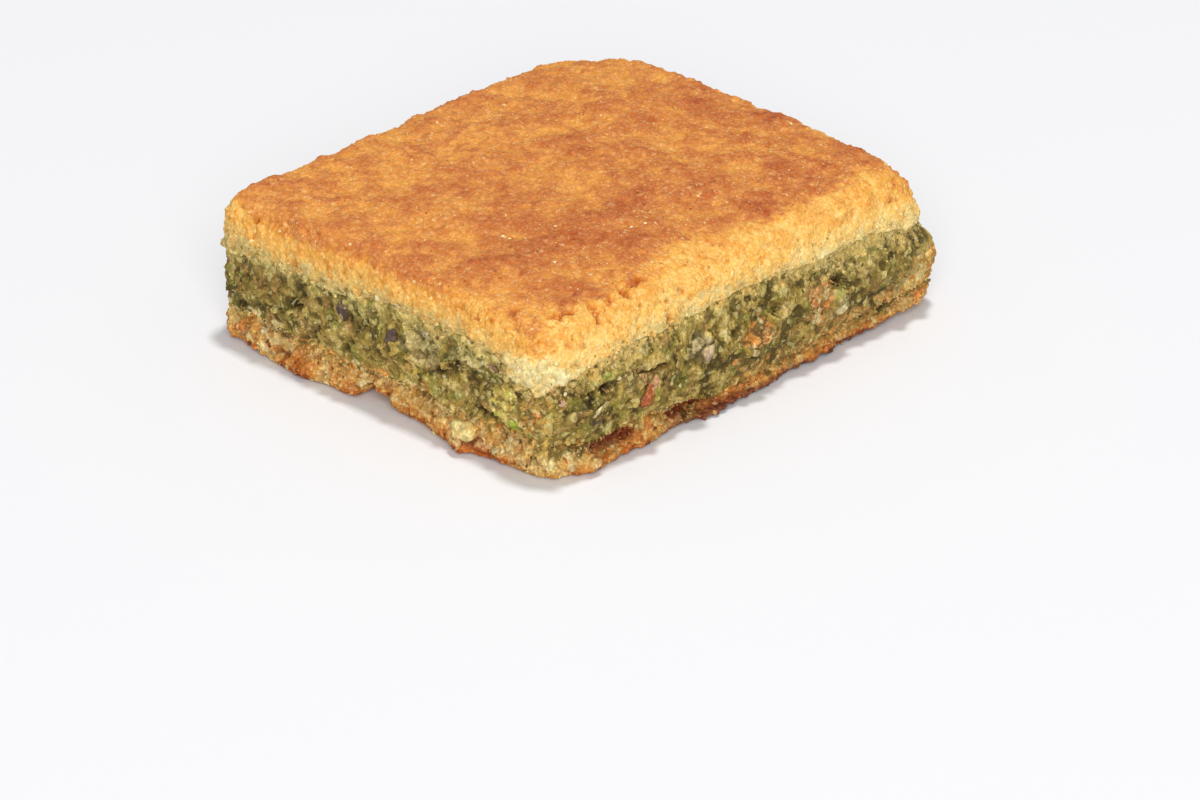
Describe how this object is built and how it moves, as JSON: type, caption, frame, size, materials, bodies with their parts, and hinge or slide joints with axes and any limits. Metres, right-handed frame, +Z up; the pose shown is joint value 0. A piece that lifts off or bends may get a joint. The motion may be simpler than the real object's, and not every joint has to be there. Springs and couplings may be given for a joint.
{
  "type": "pistachio maamoul square",
  "caption": "Flat baked square of crumbly semolina pastry with a thick green ground-pistachio layer showing along its cut sides, for dressing a plate or a sweet counter",
  "frame": {"origin": "middle of the footprint's bounding box, at the level the square rests on", "axes": "X along its longer cut side, Y along the shorter one, Z up through the layers"},
  "size_m": [0.0562, 0.0488, 0.0157],
  "materials": {
    "base_crust": "matte golden-brown baked crumb",
    "pistachio_filling": "matte coarse green nut paste",
    "top_crust": "matte baked crumb, brown on top and golden at the cut sides"
  },
  "bodies": {
    "root": {"base_crust": "base_crust", "pistachio_filling": "pistachio_filling", "top_crust": "top_crust"}
  },
  "joints": []
}
